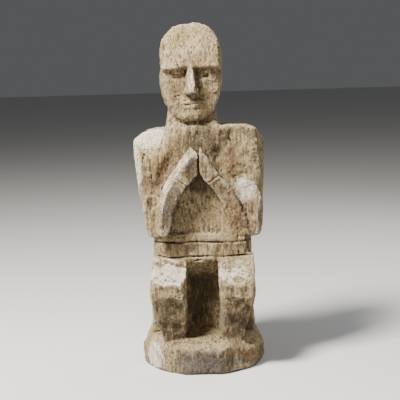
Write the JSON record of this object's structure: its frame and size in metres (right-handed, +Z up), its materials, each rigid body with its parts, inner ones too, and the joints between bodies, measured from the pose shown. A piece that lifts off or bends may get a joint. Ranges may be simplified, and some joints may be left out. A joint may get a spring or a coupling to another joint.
{
  "type": "carved ancestor figure",
  "caption": "Seated ancestor figure carved from one log, palms pressed together before the chest, on a round domed plinth with a flat underside.",
  "frame": {"origin": "middle of the plinth's underside, on the floor", "axes": "+Z up, the figure looks along -Y, its own left side is +X"},
  "size_m": [0.17, 0.162, 0.45],
  "materials": {
    "crusted_wood": "weathered, dusty clay crust",
    "worn_wood": "worn pale, dry",
    "plinth_wood": "grey and pale, stained, dry"
  },
  "bodies": {
    "root": {"base": "plinth_wood", "seat_block": "crusted_wood", "hips": "crusted_wood", "left_thigh": "crusted_wood", "right_thigh": "crusted_wood", "left_shin": "crusted_wood", "right_shin": "crusted_wood", "waist_band": "crusted_wood", "trunk": "crusted_wood", "left_upper_arm": "crusted_wood", "right_upper_arm": "crusted_wood", "left_forearm": "worn_wood", "right_forearm": "worn_wood", "left_hand": "worn_wood", "right_hand": "worn_wood", "neck": "crusted_wood", "head": "crusted_wood", "brow": "crusted_wood", "nose": "worn_wood", "lips": "crusted_wood"}
  },
  "joints": []
}
